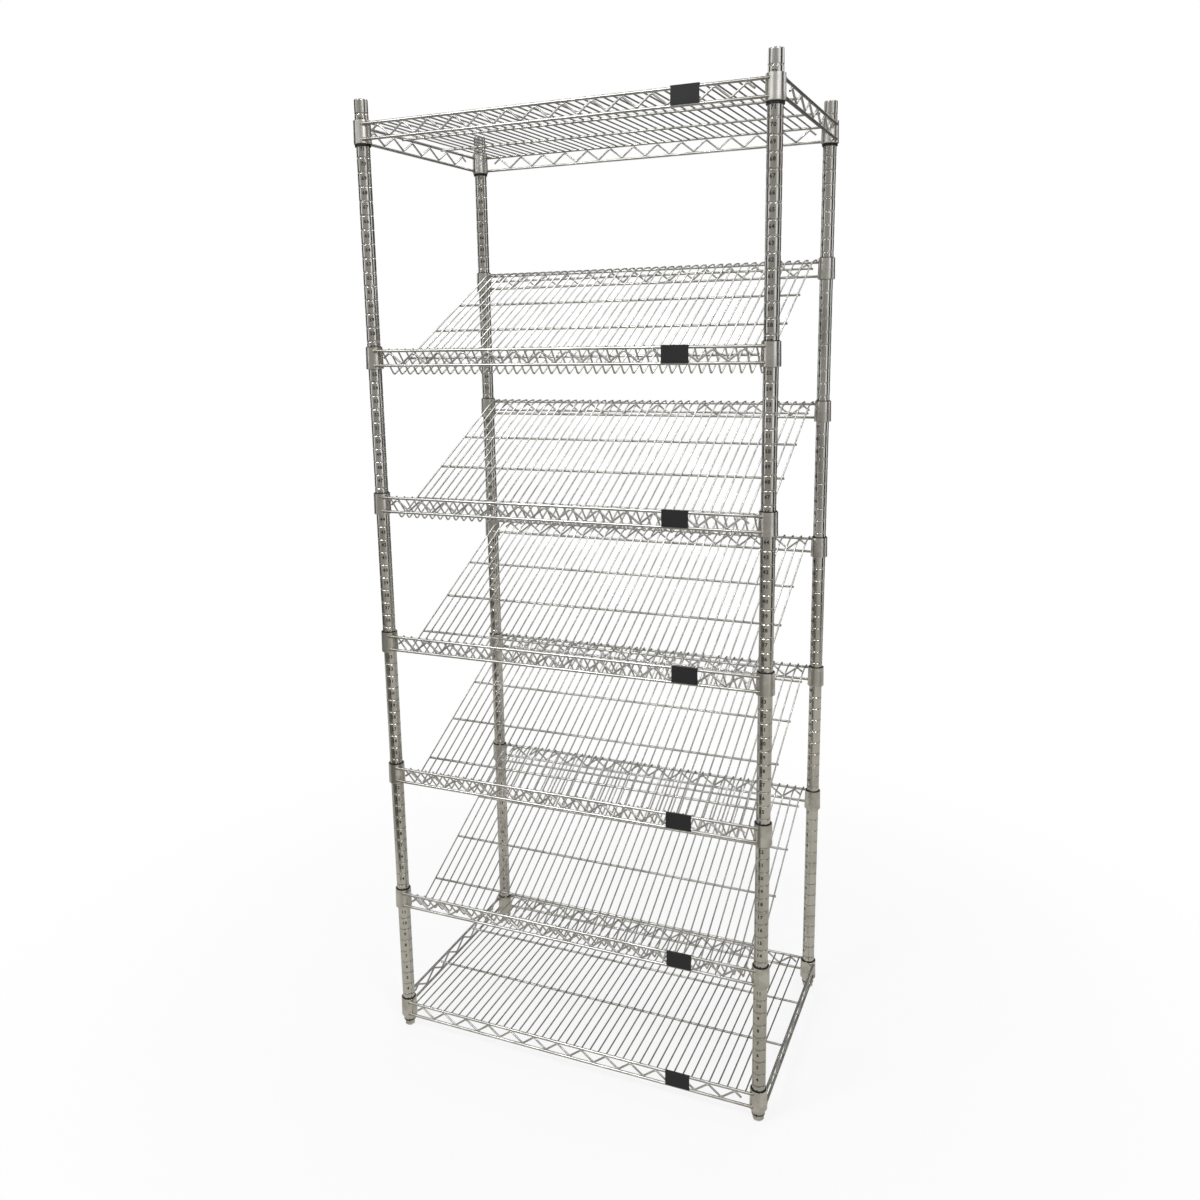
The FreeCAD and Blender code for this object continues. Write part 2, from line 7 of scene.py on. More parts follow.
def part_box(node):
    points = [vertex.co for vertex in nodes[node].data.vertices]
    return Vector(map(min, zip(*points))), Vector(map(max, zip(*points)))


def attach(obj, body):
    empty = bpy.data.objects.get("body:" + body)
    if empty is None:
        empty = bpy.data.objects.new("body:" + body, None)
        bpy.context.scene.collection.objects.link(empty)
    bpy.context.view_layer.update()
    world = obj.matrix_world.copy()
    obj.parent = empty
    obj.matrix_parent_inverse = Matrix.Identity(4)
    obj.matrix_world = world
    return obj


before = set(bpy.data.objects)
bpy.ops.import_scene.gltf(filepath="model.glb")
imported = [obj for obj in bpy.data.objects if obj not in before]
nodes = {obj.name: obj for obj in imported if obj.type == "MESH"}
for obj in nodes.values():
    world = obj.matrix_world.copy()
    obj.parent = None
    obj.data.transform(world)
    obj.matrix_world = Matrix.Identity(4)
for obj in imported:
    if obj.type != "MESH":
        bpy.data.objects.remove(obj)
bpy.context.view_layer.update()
corners = {"front_left": (-1, -1), "front_right": (1, -1), "rear_left": (-1, 1), "rear_right": (1, 1)}
flatShelves = ["top_flat", "bottom_flat"]
slantShelves = ["slant_1", "slant_2", "slant_3", "slant_4", "slant_5"]
print("frame loaded:", len(nodes), "nodes")

# sizes that several pieces share, in metres, read off one post of the frame
postLow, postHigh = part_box("post_front_left")
postRadius = (postHigh.x - postLow.x) / 2
unit = {
    "postRadius": postRadius,
    "halfWidth": -postLow.x - postRadius,  # post centres from the middle of the unit
    "halfDepth": -postLow.y - postRadius,
    "groovePitch": 0.0254,
    "grooves": 73,
}
plainWhite = (1, 1, 1, 1)


# small helpers for node trees
def feed(tree, socket, value):
    if isinstance(value, bpy.types.NodeSocket):
        tree.links.new(value, socket)
    else:
        socket.default_value = value


def place(tree, kind, inputs=None, **settings):
    node = tree.nodes.new(kind)
    for name, value in settings.items():
        setattr(node, name, value)
    for name, value in (inputs or {}).items():
        feed(tree, node.inputs[name], value)
    return node


def arith(tree, operation, *values):
    node = place(tree, "ShaderNodeMath", operation=operation)
    for index, value in enumerate(values):
        feed(tree, node.inputs[index], value)
    return node.outputs[0]


def ramp(tree, value, low, high, toLow=0.0, toHigh=1.0):
    limits = {"Value": value, "From Min": low, "From Max": high, "To Min": toLow, "To Max": toHigh}
    return place(tree, "ShaderNodeMapRange", limits, interpolation_type="SMOOTHSTEP").outputs["Result"]


def noise(tree, spot, scale, detail, roughness=0.5):
    grain = {"Vector": spot, "Scale": scale, "Detail": detail, "Roughness": roughness}
    return place(tree, "ShaderNodeTexNoise", grain).outputs["Fac"]


def blendColour(tree, factor, first, second):
    node = place(tree, "ShaderNodeMix", data_type="RGBA")
    for index, value in ((0, factor), (6, first), (7, second)):  # the colour sockets of this node
        feed(tree, node.inputs[index], value)
    return node.outputs[2]


def objectSpot(tree):
    return place(tree, "ShaderNodeTexCoord").outputs["Object"]


def newGroup(name, inputs, outputs):
    group = bpy.data.node_groups.new(name, "ShaderNodeTree")
    for label, kind, value in inputs:
        socket = group.interface.new_socket(name=label, in_out="INPUT", socket_type="NodeSocket" + kind)
        socket.default_value = value
    for label, kind in outputs:
        group.interface.new_socket(name=label, in_out="OUTPUT", socket_type="NodeSocket" + kind)
    return group, group.nodes.new("NodeGroupInput"), group.nodes.new("NodeGroupOutput")


def useGroup(tree, group, inputs):
    return place(tree, "ShaderNodeGroup", inputs, node_tree=group)


# plated finish: cloudy haze, drawn streaks and fine pitting over bright zinc
toneMix = {
    "cloudDetail": 5.0, "cloudRoughness": 0.6, "cloudRange": (0.34, 0.68), "cloudShare": 0.55,
    "streakDetail": 3.0, "streakRoughness": 0.65, "streakShare": 0.45,
    "pitScale": 900.0, "pitRange": (0.1, 0.42), "pitShare": 0.16, "pitColour": (0.1, 0.095, 0.085, 1),
    "toneRange": (0.2, 0.72), "heightShare": 0.5,
}


def makePlatedTone():
    group, enter, leave = newGroup(
        "platedTone",
        [
            ("Bright", "Color", (0.5, 0.49, 0.46, 1)),
            ("Dull", "Color", (0.34, 0.33, 0.3, 1)),
            ("Cloud Scale", "Float", 9.0),
            ("Streak Stretch", "Vector", (400.0, 400.0, 6.0)),
            ("Gloss", "Float", 0.18),
            ("Haze", "Float", 0.16),
        ],
        [("Color", "Color"), ("Roughness", "Float"), ("Height", "Float")],
    )
    given = enter.outputs
    spot = objectSpot(group)
    cloud = noise(group, spot, given["Cloud Scale"], toneMix["cloudDetail"], toneMix["cloudRoughness"])
    cloud = ramp(group, cloud, *toneMix["cloudRange"])
    stretched = place(group, "ShaderNodeVectorMath", {0: spot, 1: given["Streak Stretch"]},
                      operation="MULTIPLY").outputs["Vector"]
    streak = noise(group, stretched, 1.0, toneMix["streakDetail"], toneMix["streakRoughness"])
    pits = place(group, "ShaderNodeTexVoronoi", {"Vector": spot, "Scale": toneMix["pitScale"]}, feature="F1")
    pits = ramp(group, pits.outputs["Distance"], *toneMix["pitRange"])
    clouded = arith(group, "MULTIPLY", cloud, toneMix["cloudShare"])
    mixed = arith(group, "MULTIPLY_ADD", streak, toneMix["streakShare"], clouded)
    tone = blendColour(group, ramp(group, mixed, *toneMix["toneRange"]), given["Bright"], given["Dull"])
    pitted = arith(group, "MULTIPLY_ADD", pits, -toneMix["pitShare"], toneMix["pitShare"])
    tone = blendColour(group, pitted, tone, toneMix["pitColour"])
    rough = arith(group, "MULTIPLY_ADD", mixed, given["Haze"], given["Gloss"])
    pitHeight = arith(group, "MULTIPLY", pits, toneMix["heightShare"])
    height = arith(group, "MULTIPLY_ADD", streak, toneMix["heightShare"], pitHeight)
    for label, value in (("Color", tone), ("Roughness", rough), ("Height", height)):
        group.links.new(value, leave.inputs[label])
    return group


# weld heat: straw and smoke tint of the wires close to the four collars
heatLook = {"grain": 160.0, "detail": 3.0, "ragged": 0.016, "core": 0.016, "share": 0.55}


def makeWeldHeat():
    group, enter, leave = newGroup(
        "weldHeat",
        [
            ("Color", "Color", (0.5, 0.5, 0.5, 1)),
            ("Tint", "Color", (0.25, 0.21, 0.15, 1)),
            ("Half Width", "Float", unit["halfWidth"]),
            ("Half Depth", "Float", unit["halfDepth"]),
            ("Reach", "Float", 0.05),
        ],
        [("Color", "Color")],
    )
    given = enter.outputs
    spot = objectSpot(group)
    part = place(group, "ShaderNodeSeparateXYZ", {0: spot}).outputs
    across = arith(group, "SUBTRACT", arith(group, "ABSOLUTE", part["X"]), given["Half Width"])
    deep = arith(group, "SUBTRACT", arith(group, "ABSOLUTE", part["Y"]), given["Half Depth"])
    squares = arith(group, "ADD", arith(group, "POWER", across, 2.0), arith(group, "POWER", deep, 2.0))
    grain = noise(group, spot, heatLook["grain"], heatLook["detail"])
    ragged = arith(group, "MULTIPLY_ADD", grain, heatLook["ragged"], -heatLook["ragged"] / 2)
    away = arith(group, "ADD", arith(group, "SQRT", squares), ragged)
    mask = ramp(group, away, given["Reach"], heatLook["core"])
    share = arith(group, "MULTIPLY", mask, heatLook["share"])
    group.links.new(blendColour(group, share, given["Color"], given["Tint"]), leave.inputs["Color"])
    return group


# settled dust and fine specks on the black moulded pieces
dustLook = {
    "upward": (0.15, 0.95),  # how far a face has to look up before dust lies on it
    "patchScale": 45.0, "patchDetail": 6.0, "settledRange": (0.35, 0.7), "looseRange": (0.4, 0.65),
    "speckScale": 700.0, "speckDetail": 2.0, "speckRange": (0.6, 0.75), "looseShare": 0.45,
    "dustRough": 0.5, "patchRough": 0.14, "grainDetail": 2.0,
}


def makeShelfDust():
    group, enter, leave = newGroup(
        "shelfDust",
        [
            ("Color", "Color", (0.02, 0.02, 0.02, 1)),
            ("Dust", "Color", (0.32, 0.31, 0.29, 1)),
            ("Amount", "Float", 0.35),
            ("Grain Scale", "Float", 1400.0),
            ("Gloss", "Float", 0.42),
        ],
        [("Color", "Color"), ("Roughness", "Float"), ("Height", "Float")],
    )
    given = enter.outputs
    spot = objectSpot(group)
    normal = place(group, "ShaderNodeNewGeometry").outputs["Normal"]
    facing = place(group, "ShaderNodeSeparateXYZ", {0: normal}).outputs["Z"]
    upward = ramp(group, facing, *dustLook["upward"])
    patch = noise(group, spot, dustLook["patchScale"], dustLook["patchDetail"])
    speck = noise(group, spot, dustLook["speckScale"], dustLook["speckDetail"])
    settled = arith(group, "MULTIPLY", upward, ramp(group, patch, *dustLook["settledRange"]))
    specks = ramp(group, speck, *dustLook["speckRange"])
    loose = arith(group, "MULTIPLY", specks, ramp(group, patch, *dustLook["looseRange"]))
    lying = arith(group, "MULTIPLY_ADD", loose, dustLook["looseShare"], settled)
    dust = arith(group, "MULTIPLY", given["Amount"], lying)
    colour = blendColour(group, dust, given["Color"], given["Dust"])
    patchRough = arith(group, "MULTIPLY", patch, dustLook["patchRough"])
    dulled = arith(group, "MULTIPLY_ADD", dust, dustLook["dustRough"], patchRough)
    rough = arith(group, "ADD", given["Gloss"], dulled)
    grain = noise(group, spot, given["Grain Scale"], dustLook["grainDetail"])
    for label, value in (("Color", colour), ("Roughness", rough), ("Height", grain)):
        group.links.new(value, leave.inputs[label])
    return group


platedTone = makePlatedTone()
weldHeat = makeWeldHeat()
shelfDust = makeShelfDust()
print("shared finishes built")


def bareMaterial(name):
    material = bpy.data.materials.new(name)
    material.use_nodes = True
    material.node_tree.nodes.clear()
    return material, material.node_tree


def newMaterial(name):
    material, tree = bareMaterial(name)
    surface = tree.nodes.new("ShaderNodeBsdfPrincipled")
    place(tree, "ShaderNodeOutputMaterial", {"Surface": surface.outputs[0]})
    return material, tree, surface


def addBump(tree, surface, height, strength, distance, under=None):
    bump = place(tree, "ShaderNodeBump", {"Height": height, "Strength": strength, "Distance": distance})
    if under:
        tree.links.new(under, bump.inputs["Normal"])
    tree.links.new(bump.outputs["Normal"], surface.inputs["Normal"])


# plated pieces: one row of values each
platedLooks = {
    "postPlate": {"bright": (0.68, 0.67, 0.64, 1), "dull": (0.52, 0.51, 0.475, 1), "cloud": 7.0,
                  "stretch": (520.0, 520.0, 5.0), "gloss": 0.12, "haze": 0.12, "bump": 0.06,
                  "grooves": True},
    "capPlate": {"bright": (0.64, 0.63, 0.6, 1), "dull": (0.5, 0.49, 0.455, 1), "cloud": 40.0,
                 "stretch": (300.0, 300.0, 300.0), "gloss": 0.2, "haze": 0.14, "bump": 0.1},
    "collarPlate": {"bright": (0.7, 0.69, 0.66, 1), "dull": (0.54, 0.53, 0.495, 1), "cloud": 34.0,
                    "stretch": (260.0, 260.0, 40.0), "gloss": 0.2, "haze": 0.16, "bump": 0.12},
    "railPlate": {"bright": (0.64, 0.635, 0.62, 1), "dull": (0.46, 0.455, 0.435, 1), "cloud": 18.0,
                  "stretch": (7.0, 700.0, 700.0), "gloss": 0.24, "haze": 0.12, "bump": 0.03,
                  "heat": True},
    "zigzagPlate": {"bright": (0.6, 0.595, 0.58, 1), "dull": (0.42, 0.415, 0.395, 1), "cloud": 25.0,
                    "stretch": (60.0, 900.0, 60.0), "gloss": 0.24, "haze": 0.13, "bump": 0.03,
                    "heat": True},
    "deckPlate": {"bright": (0.62, 0.615, 0.595, 1), "dull": (0.43, 0.425, 0.4, 1), "cloud": 14.0,
                  "stretch": (1100.0, 7.0, 60.0), "gloss": 0.22, "haze": 0.12, "bump": 0.03},
    "crossPlate": {"bright": (0.55, 0.54, 0.52, 1), "dull": (0.38, 0.375, 0.355, 1), "cloud": 18.0,
                   "stretch": (7.0, 800.0, 800.0), "gloss": 0.24, "haze": 0.13, "bump": 0.03},
    "footPlate": {"bright": (0.62, 0.61, 0.575, 1), "dull": (0.44, 0.43, 0.4, 1), "cloud": 60.0,
                  "stretch": (400.0, 400.0, 400.0), "gloss": 0.22, "haze": 0.2, "bump": 0.15},
    "beadPlate": {"bright": (0.62, 0.605, 0.57, 1), "dull": (0.4, 0.385, 0.35, 1), "cloud": 120.0,
                  "stretch": (600.0, 600.0, 600.0), "gloss": 0.24, "haze": 0.2, "bump": 0.2,
                  "heat": True},
}
platedRelief = 0.0002

# ring grooves of a post: rolled soft edges, with painted shade and patchy dirt darkening the bottom
grooveLook = {"floor": 0.0004, "edge": 0.001, "roll": 0.0022, "depth": 0.0007, "grooveShadeColour": (0.3, 0.29, 0.26, 1),
              "patches": 60.0, "patchDetail": 3.0, "patchRange": (0.4, 0.7), "grooveShadeShare": (0.1, 0.7)}


def grooveShape(tree, colour):
    pitch = unit["groovePitch"]
    spot = objectSpot(tree)
    height = place(tree, "ShaderNodeSeparateXYZ", {0: spot}).outputs["Z"]
    turns = arith(tree, "FRACT", arith(tree, "MULTIPLY_ADD", height, 1 / pitch, 0.5))
    away = arith(tree, "MULTIPLY", arith(tree, "ABSOLUTE", arith(tree, "SUBTRACT", turns, 0.5)), pitch)
    inside = ramp(tree, away, grooveLook["edge"], grooveLook["floor"])
    patchy = noise(tree, spot, grooveLook["patches"], grooveLook["patchDetail"])
    patchy = ramp(tree, patchy, *grooveLook["patchRange"], *grooveLook["grooveShadeShare"])
    # painted shade: the groove bottoms are darkened in patches, standing in for shade in the grooves as well
    # as dirt
    shadedColour = blendColour(tree, arith(tree, "MULTIPLY", inside, patchy), colour, grooveLook["grooveShadeColour"])
    relief = ramp(tree, away, grooveLook["floor"], grooveLook["roll"])
    rounding = {"Height": relief, "Strength": 1.0, "Distance": grooveLook["depth"]}
    return shadedColour, place(tree, "ShaderNodeBump", rounding).outputs["Normal"]


def makePlated(name, look):
    material, tree, surface = newMaterial(name)
    tone = useGroup(tree, platedTone, {
        "Bright": look["bright"], "Dull": look["dull"], "Cloud Scale": look["cloud"],
        "Streak Stretch": look["stretch"], "Gloss": look["gloss"], "Haze": look["haze"],
    })
    colour, rolled = tone.outputs["Color"], None
    if look.get("grooves"):
        colour, rolled = grooveShape(tree, colour)
    if look.get("heat"):
        colour = useGroup(tree, weldHeat, {"Color": colour}).outputs["Color"]
    tree.links.new(colour, surface.inputs["Base Color"])
    tree.links.new(tone.outputs["Roughness"], surface.inputs["Roughness"])
    surface.inputs["Metallic"].default_value = 1.0
    addBump(tree, surface, tone.outputs["Height"], look["bump"], platedRelief, rolled)
    return material


plated = {name: makePlated(name, look) for name, look in platedLooks.items()}

# black moulded pieces
mouldedLooks = {
    "sleeveBlack": {"colour": (0.008, 0.008, 0.009, 1), "amount": 0.12, "grain": 1600.0, "gloss": 0.42,
                    "bump": 0.1},
    "labelBlack": {"colour": (0.02, 0.02, 0.021, 1), "amount": 0.1, "grain": 2200.0, "gloss": 0.36,
                   "bump": 0.08},
    "insertBlack": {"colour": (0.015, 0.015, 0.015, 1), "amount": 0.3, "grain": 1200.0, "gloss": 0.5,
                    "bump": 0.15},
    "stampDark": {"colour": (0.014, 0.013, 0.012, 1), "amount": 0.15, "grain": 2600.0, "gloss": 0.6,
                  "bump": 0.1},
}
mouldedSpecular = 0.25
mouldedRelief = 0.0001


def makeMoulded(name, look):
    material, tree, surface = newMaterial(name)
    dust = useGroup(tree, shelfDust, {
        "Color": look["colour"], "Amount": look["amount"],
        "Grain Scale": look["grain"], "Gloss": look["gloss"],
    })
    tree.links.new(dust.outputs["Color"], surface.inputs["Base Color"])
    tree.links.new(dust.outputs["Roughness"], surface.inputs["Roughness"])
    surface.inputs["Specular IOR Level"].default_value = mouldedSpecular
    addBump(tree, surface, dust.outputs["Height"], look["bump"], mouldedRelief)
    return material


moulded = {name: makeMoulded(name, look) for name, look in mouldedLooks.items()}

# which finish each node takes, by the end of its name
finishByEnding = {
    "post_caps": plated["capPlate"],
    "foot_inserts": moulded["insertBlack"],
    "_collars": plated["collarPlate"],
    "_sleeves": moulded["sleeveBlack"],
    "_rails": plated["railPlate"],
    "_trusses": plated["zigzagPlate"],
    "_cross_wires": plated["crossPlate"],
    "_deck_wires": plated["deckPlate"],
    "_label_plate": moulded["labelBlack"],
}


def finishOf(name):
    for ending, material in finishByEnding.items():
        if name.endswith(ending):
            return material
    return plated["postPlate"] if name.startswith("post_") else plated["footPlate"]


for name, node in nodes.items():
    node.data.materials.clear()
    node.data.materials.append(finishOf(name))
print("finishes set on", len(nodes), "nodes")


def linkNew(name, data):
    holder = bpy.data.objects.new(name, data)
    bpy.context.scene.collection.objects.link(holder)
    return holder


def addPiece(name, vertices, faces, material, body, smooth=True):
    mesh = bpy.data.meshes.new(name)
    mesh.from_pydata(vertices, [], faces)
    mesh.update()
    if smooth:
        mesh.shade_smooth()
    mesh.materials.append(material)
    piece = linkNew(name, mesh)
    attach(piece, body)


# position numbers stamped beside the grooves of each post
stampSizes = {
    "first": 1,
    "drop": 0.0112,  # below the groove that the number belongs to
    "digitSize": 0.0092,
    "bold": 0.0003,
    "spread": 0.0052,  # between the two digits
    "strip": 0.0007,
    "proud": 0.00003,
    "thickness": 0.00003,
    "merge": 1e-6,  # points closer than this are one
    "curveSteps": 2,
    "facing": {"front_left": 28.0, "front_right": 0.0, "rear_left": 20.0, "rear_right": -45.0},
}


def digitMesh(digit):
    curve = bpy.data.curves.new("digit", "FONT")
    curve.body = digit
    curve.size = stampSizes["digitSize"]
    curve.resolution_u = stampSizes["curveSteps"]
    curve.offset = stampSizes["bold"]
    curve.extrude = stampSizes["thickness"]
    curve.align_x = "CENTER"
    curve.align_y = "CENTER"
    holder = linkNew("digit", curve)
    mesh = bpy.data.meshes.new_from_object(holder.evaluated_get(bpy.context.evaluated_depsgraph_get()))
    solid = bmesh.new()
    solid.from_mesh(mesh)
    bmesh.ops.remove_doubles(solid, verts=solid.verts[:], dist=stampSizes["merge"])
    reach = max(abs(vertex.co.x) for vertex in solid.verts)
    cuts = int(reach / stampSizes["strip"])
    for cut in range(-cuts, cuts + 1):  # narrow strips, so that the digit can bend round the post
        bmesh.ops.bisect_plane(solid, geom=solid.verts[:] + solid.edges[:] + solid.faces[:],
                               plane_co=(cut * stampSizes["strip"], 0, 0), plane_no=(1, 0, 0))
    solid.verts.index_update()
    points = [vertex.co.copy() for vertex in solid.verts]
    polygons = [tuple(vertex.index for vertex in face.verts) for face in solid.faces]
    solid.free()
    bpy.data.objects.remove(holder)
    bpy.data.curves.remove(curve)
    bpy.data.meshes.remove(mesh)
    return points, polygons


digits = {digit: digitMesh(digit) for digit in "0123456789"}


def stampPost(corner):
    signX, signY = corners[corner]
    centre = Vector((signX * unit["halfWidth"], signY * unit["halfDepth"]))
    turn = math.radians(stampSizes["facing"][corner])
    radius = unit["postRadius"] + stampSizes["proud"]
    vertices, faces = [], []
    for number in range(stampSizes["first"], unit["grooves"] + 1):
        text = str(number)
        for order, digit in enumerate(text):
            shift = (order - (len(text) - 1) / 2) * stampSizes["spread"]
            points, polygons = digits[digit]
            base = len(vertices)
            for point in points:
                angle = (point.x + shift) / radius + turn
                out = radius + point.z
                vertices.append((
                    centre.x + out * math.sin(angle),
                    centre.y - out * math.cos(angle),
                    number * unit["groovePitch"] - stampSizes["drop"] + point.y,
                ))
            faces += [tuple(base + index for index in polygon) for polygon in polygons]
    name = "stamped_numbers_" + corner
    addPiece(name, vertices, faces, moulded["stampDark"], "post_frame", smooth=False)


for corner in corners:
    stampPost(corner)
print("position numbers stamped on", len(corners), "posts")

# weld beads where the rails meet the collars
beadSizes = {
    "collarReach": 0.0162,
    "railRadius": 0.00275,
    "railGap": 0.027,  # between the middles of the top and the bottom rail
    "bead": 0.0009,
    "flatness": 0.8,
    "around": 20,
    "across": 8,
    "ripples": ((0.12, 3, 1.0), (0.08, 7, 2.3)),  # height, waves round the ring, share of the seed
    "seedStep": 1.7,
}


def beadRing(vertices, faces, centre, normal, tangent, slantReach, seed):
    upward = Vector((0, 0, 1))
    base = len(vertices)
    around, across = beadSizes["around"], beadSizes["across"]
    for step in range(around):
        angle = 2 * math.pi * step / around
        wobble = 1 + sum(high * math.sin(waves * angle + share * seed)
                         for high, waves, share in beadSizes["ripples"])
        spoke = tangent * (math.cos(angle) * slantReach)
        spoke += upward * (math.sin(angle) * beadSizes["railRadius"])
        out = spoke.normalized()
        for turn in range(across):
            roll = 2 * math.pi * turn / across
            offset = out * math.cos(roll) + normal * (beadSizes["flatness"] * math.sin(roll))
            vertices.append(centre + spoke + offset * (beadSizes["bead"] * wobble))
    for step in range(around):
        here = base + step * across
        there = base + (step + 1) % around * across
        for turn in range(across):
            after = (turn + 1) % across
            faces.append((here + turn, here + after, there + after, there + turn))


def weldShelf(shelf, sides):
    vertices, faces = [], []
    reach, radius = beadSizes["collarReach"], beadSizes["railRadius"]
    railLow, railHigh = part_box(shelf + "_rails")
    bottomRail = railLow.z + radius
    topRail = bottomRail + beadSizes["railGap"]
    rise = railHigh.z - radius - topRail  # rear rails of a slanted shelf above its front ones
    offset = railHigh.y - radius - unit["halfDepth"]  # rail plane beyond the post centres
    run = math.sqrt(reach ** 2 - offset ** 2)
    slantReach = radius * reach / run  # the rail meets the collar at a slant
    for signX, signY in corners.values():
        lift = rise if signY > 0 else 0.0
        post = Vector((signX * unit["halfWidth"], signY * unit["halfDepth"], lift))
        for along in sides:
            if along == "X":
                spot = Vector((-signX * run, signY * offset, 0))
            else:
                spot = Vector((signX * offset, -signY * run, 0))
            normal = spot.normalized()
            tangent = Vector((-normal.y, normal.x, 0))
            for height in (topRail, bottomRail):
                centre = post + Vector((0, 0, height)) + spot
                seed = beadSizes["seedStep"] * len(vertices)
                beadRing(vertices, faces, centre, normal, tangent, slantReach, seed)
    addPiece("weld_beads_" + shelf, vertices, faces, plated["beadPlate"], shelf + "_shelf")


for shelf in flatShelves:
    weldShelf(shelf, ("X", "Y"))
for shelf in slantShelves:
    weldShelf(shelf, ("X",))
print("weld beads set on", len(flatShelves + slantShelves), "shelves")

# floor, world and lamps
studio = {
    "floorHalf": 30.0,
    "floorColour": (0.86, 0.86, 0.86, 1),
    "floorWorn": (0.8, 0.8, 0.79, 1),
    "mottleScale": 2.0,
    "mottleDetail": 4.0,
    "mottleShare": 0.1,
    "floorShade": 0.16,  # share of the lit floor that shows under the plain white, close to the unit
    "shadeReach": (0.5, 1.7),  # the white is plain beyond this distance from the middle
    "worldLight": (0.62, 0.63, 0.65, 1),
    "worldStrength": 0.75,
}


def seenRays(tree):
    rays = place(tree, "ShaderNodeLightPath").outputs
    mirrored = arith(tree, "MAXIMUM", rays["Is Glossy Ray"], rays["Is Transmission Ray"])
    return arith(tree, "MAXIMUM", rays["Is Camera Ray"], mirrored)


def makeFloor():
    half = studio["floorHalf"]
    square = [(-half, -half, 0), (half, -half, 0), (half, half, 0), (-half, half, 0)]
    mesh = bpy.data.meshes.new("studio_floor")
    mesh.from_pydata(square, [], [(0, 1, 2, 3)])
    material, tree = bareMaterial("floorPale")
    spot = objectSpot(tree)
    mottle = noise(tree, spot, studio["mottleScale"], studio["mottleDetail"])
    worn = arith(tree, "MULTIPLY", mottle, studio["mottleShare"])
    shade = blendColour(tree, worn, studio["floorColour"], studio["floorWorn"])
    matte = place(tree, "ShaderNodeBsdfDiffuse", {"Color": shade})
    white = place(tree, "ShaderNodeEmission", {"Color": plainWhite, "Strength": 1.0})
    away = place(tree, "ShaderNodeVectorMath", {0: spot}, operation="LENGTH").outputs["Value"]
    plain = ramp(tree, away, *studio["shadeReach"], 1 - studio["floorShade"], 1.0)
    share = arith(tree, "MULTIPLY", seenRays(tree), plain)
    mixed = place(tree, "ShaderNodeMixShader", {0: share, 1: matte.outputs[0], 2: white.outputs[0]})
    place(tree, "ShaderNodeOutputMaterial", {"Surface": mixed.outputs[0]})
    mesh.materials.append(material)
    linkNew("studio_floor", mesh)


def makeWorld():
    world = bpy.data.worlds.new("studio_world")
    bpy.context.scene.world = world
    world.use_nodes = True
    tree = world.node_tree
    tree.nodes.clear()
    light = {"Color": studio["worldLight"], "Strength": studio["worldStrength"]}
    soft = place(tree, "ShaderNodeBackground", light)
    white = place(tree, "ShaderNodeBackground", {"Color": plainWhite, "Strength": 1.0})
    mixed = place(tree, "ShaderNodeMixShader", {0: seenRays(tree), 1: soft.outputs[0], 2: white.outputs[0]})
    place(tree, "ShaderNodeOutputWorld", {"Surface": mixed.outputs[0]})


lamps = {
    "keyPanel": {"spot": (-1.6, -3.0, 3.9), "aim": (0, 0, 1.0), "power": 75.0, "width": 1.4, "height": 0.9},
    "fillPanel": {"spot": (2.6, -2.6, 3.7), "aim": (0, 0, 0.9), "power": 50.0, "width": 1.1, "height": 0.8},
    "topPanel": {"spot": (0.0, 1.14, 3.36), "aim": (0, 1.14, 0), "power": 22.0, "width": 2.4,
                 "height": 0.44},
}


def makeLamp(name, look):
    data = bpy.data.lights.new(name, "AREA")
    data.shape = "RECTANGLE"
    data.size = look["width"]
    data.size_y = look["height"]
    data.energy = look["power"]
    lamp = linkNew(name, data)
    lamp.location = look["spot"]
    aim = Vector(look["aim"]) - Vector(look["spot"])
    lamp.rotation_euler = aim.to_track_quat("-Z", "Y").to_euler()


# cards round the unit that only the plated metal mirrors: two corners and a tone each
cards = {
    "frontWall": {"low": (-5.0, -4.4, 0.0), "high": (5.0, -4.4, 3.2), "tone": (0.34, 0.331, 0.312, 1)},
    "rearWall": {"low": (-5.0, 3.2, 0.0), "high": (5.0, 3.2, 2.7), "tone": (0.08, 0.08, 0.078, 1)},
    "ground": {"low": (-5.0, -4.4, 0.003), "high": (5.0, 3.2, 0.003), "tone": (0.54, 0.52, 0.468, 1)},
    "frontShade": {"low": (-5.0, -3.4, 0.006), "high": (0.0, -0.9, 0.006), "tone": (0.14, 0.133, 0.12, 1)},
    "leftFlag": {"low": (-3.2, -1.4, 0.0), "high": (-3.2, 0.7, 3.0), "tone": (0.03, 0.03, 0.03, 1)},
    "rightFlag": {"low": (3.2, -0.9, 0.0), "high": (3.2, 0.8, 3.0), "tone": (0.03, 0.03, 0.03, 1)},
    "ceiling": {"low": (-3.0, -2.0, 3.4), "high": (3.0, 0.88, 3.4), "tone": (0.26, 0.256, 0.245, 1)},
    "ceilingRear": {"low": (-3.0, 1.4, 3.4), "high": (3.0, 3.2, 3.4), "tone": (0.2, 0.198, 0.193, 1)},
}


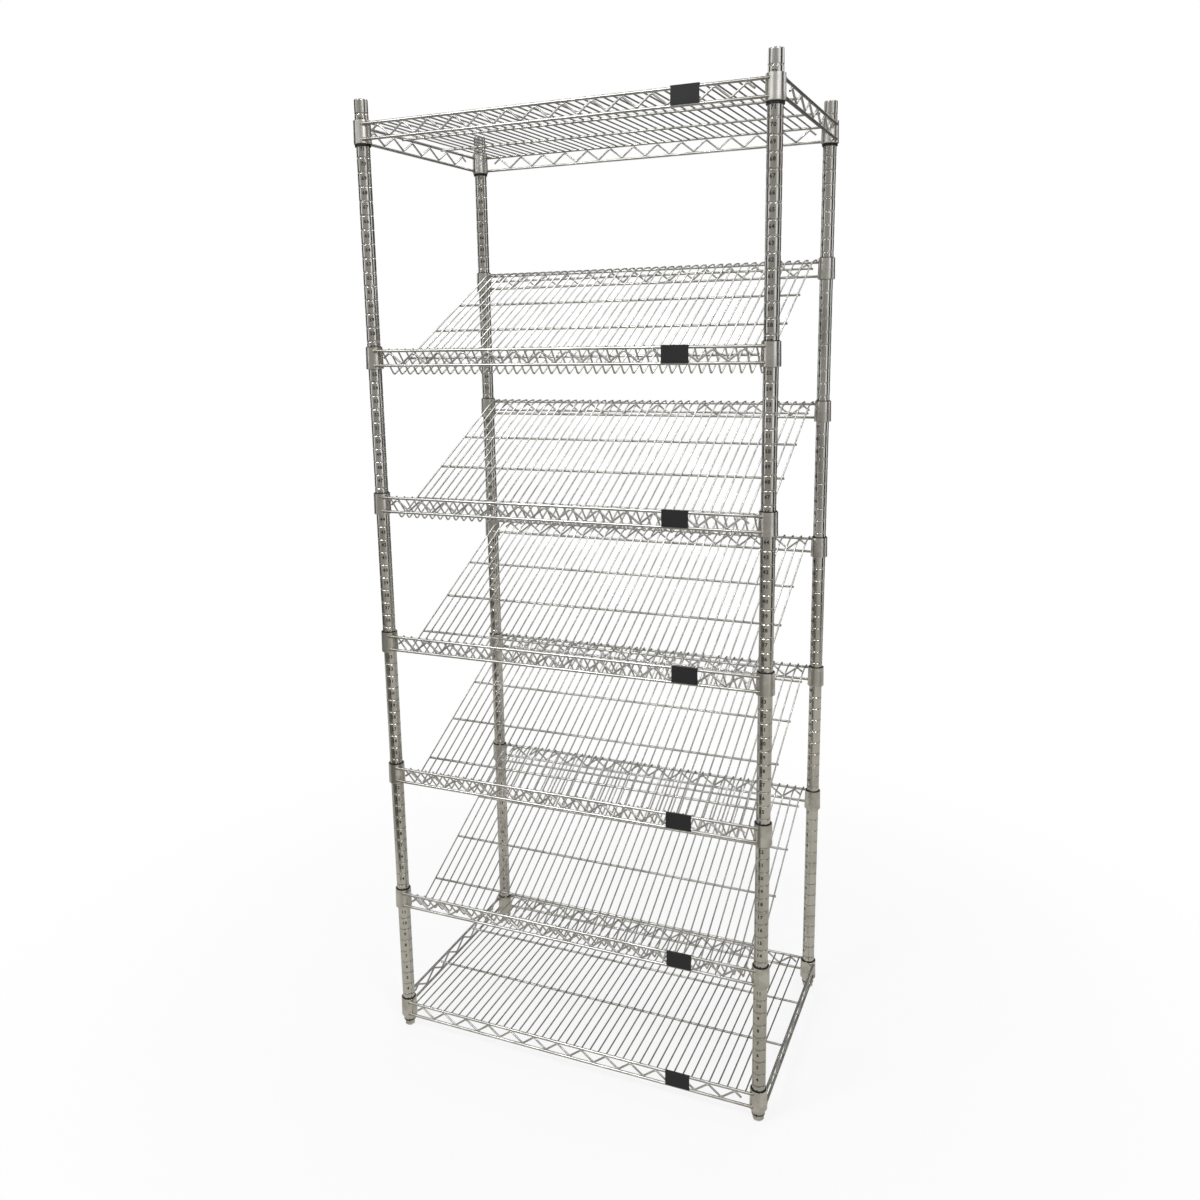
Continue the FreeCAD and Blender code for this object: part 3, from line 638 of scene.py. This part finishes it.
def makeCard(name, look):
    low, high = Vector(look["low"]), Vector(look["high"])
    span = high - low
    flat = min(range(3), key=lambda axis: abs(span[axis]))
    first, second = [axis for axis in range(3) if axis != flat]
    points = []
    for a, b in ((0, 0), (1, 0), (1, 1), (0, 1)):
        point = low.copy()
        point[first] += a * span[first]
        point[second] += b * span[second]
        points.append(point)
    mesh = bpy.data.meshes.new(name)
    mesh.from_pydata(points, [], [(0, 1, 2, 3)])
    material, tree = bareMaterial(name + "Tone")
    glow = place(tree, "ShaderNodeEmission", {"Color": look["tone"], "Strength": 1.0})
    place(tree, "ShaderNodeOutputMaterial", {"Surface": glow.outputs[0]})
    mesh.materials.append(material)
    card = linkNew(name, mesh)
    card.visible_camera = False
    card.visible_diffuse = False
    card.visible_shadow = False
    card.visible_transmission = False


makeFloor()
makeWorld()
for name, look in cards.items():
    makeCard(name, look)
for name, look in lamps.items():
    makeLamp(name, look)
print("studio lit by", len(lamps), "panels")

# camera at the photograph's viewing angle, worked out for a 1200 by 1200 frame
viewpoint = {
    "spot": (0.79843, -2.00731, 1.46299),
    "yaw": -0.423,
    "pitch": -0.20021,
    "roll": -0.02157,
    "focal": 1088.56,
    "axisSpot": (560.0, 550.0),
    "side": 1200.0,
    "sensor": 36.0,
    "clip": (0.05, 200.0),
}


def makeCamera():
    data = bpy.data.cameras.new("photo_camera")
    data.sensor_width = viewpoint["sensor"]
    data.lens = viewpoint["focal"] / viewpoint["side"] * viewpoint["sensor"]
    data.shift_x = 0.5 - viewpoint["axisSpot"][0] / viewpoint["side"]
    data.shift_y = viewpoint["axisSpot"][1] / viewpoint["side"] - 0.5
    data.clip_start, data.clip_end = viewpoint["clip"]
    camera = linkNew("photo_camera", data)
    turn = (Matrix.Rotation(-viewpoint["yaw"], 4, "Z")
            @ Matrix.Rotation(math.pi / 2 + viewpoint["pitch"], 4, "X")
            @ Matrix.Rotation(viewpoint["roll"], 4, "Z"))
    camera.matrix_world = Matrix.Translation(viewpoint["spot"]) @ turn
    bpy.context.scene.camera = camera


makeCamera()
bpy.context.scene.view_settings.view_transform = "Standard"
print("camera set")
